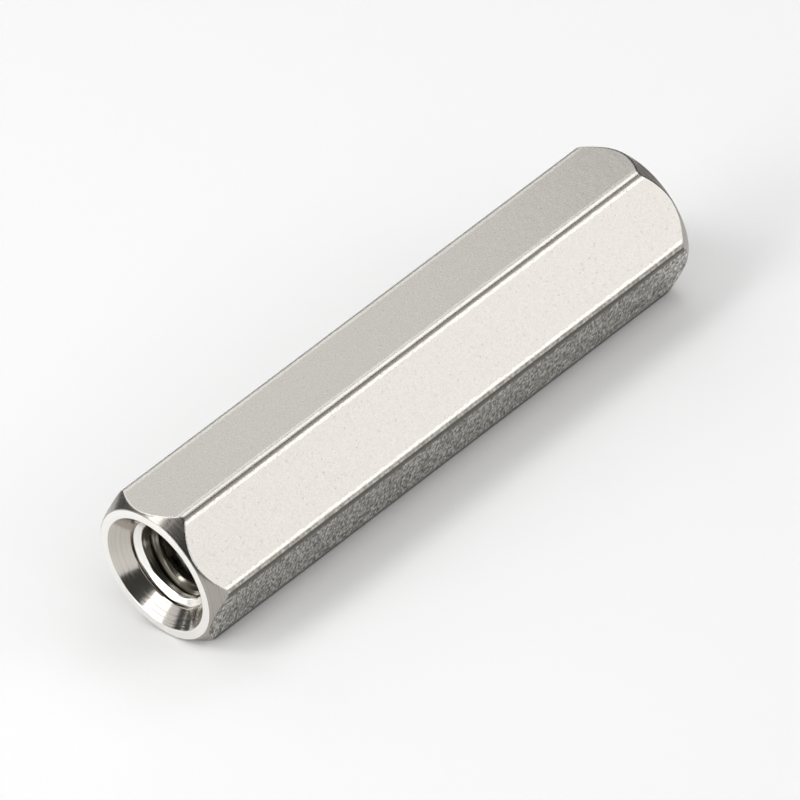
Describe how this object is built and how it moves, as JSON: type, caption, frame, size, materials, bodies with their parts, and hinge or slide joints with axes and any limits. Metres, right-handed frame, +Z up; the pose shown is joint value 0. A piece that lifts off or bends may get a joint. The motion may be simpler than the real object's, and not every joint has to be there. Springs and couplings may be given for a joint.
{
  "type": "hex standoff",
  "caption": "Hexagonal threaded standoff: a drawn bar with chamfered ends and a countersunk, tapped hole in each end, for holding boards or panels apart.",
  "frame": {"origin": "middle of the flat that the bar lies on", "axes": "+X along the bar's axis, +Z up from the flat that it lies on, +Y from corner to corner"},
  "size_m": [0.02, 0.0052, 0.0045],
  "materials": {
    "nickel_plate": "bright nickel plate over drawn and turned brass"
  },
  "bodies": {
    "root": {"standoff": "nickel_plate"}
  },
  "joints": []
}
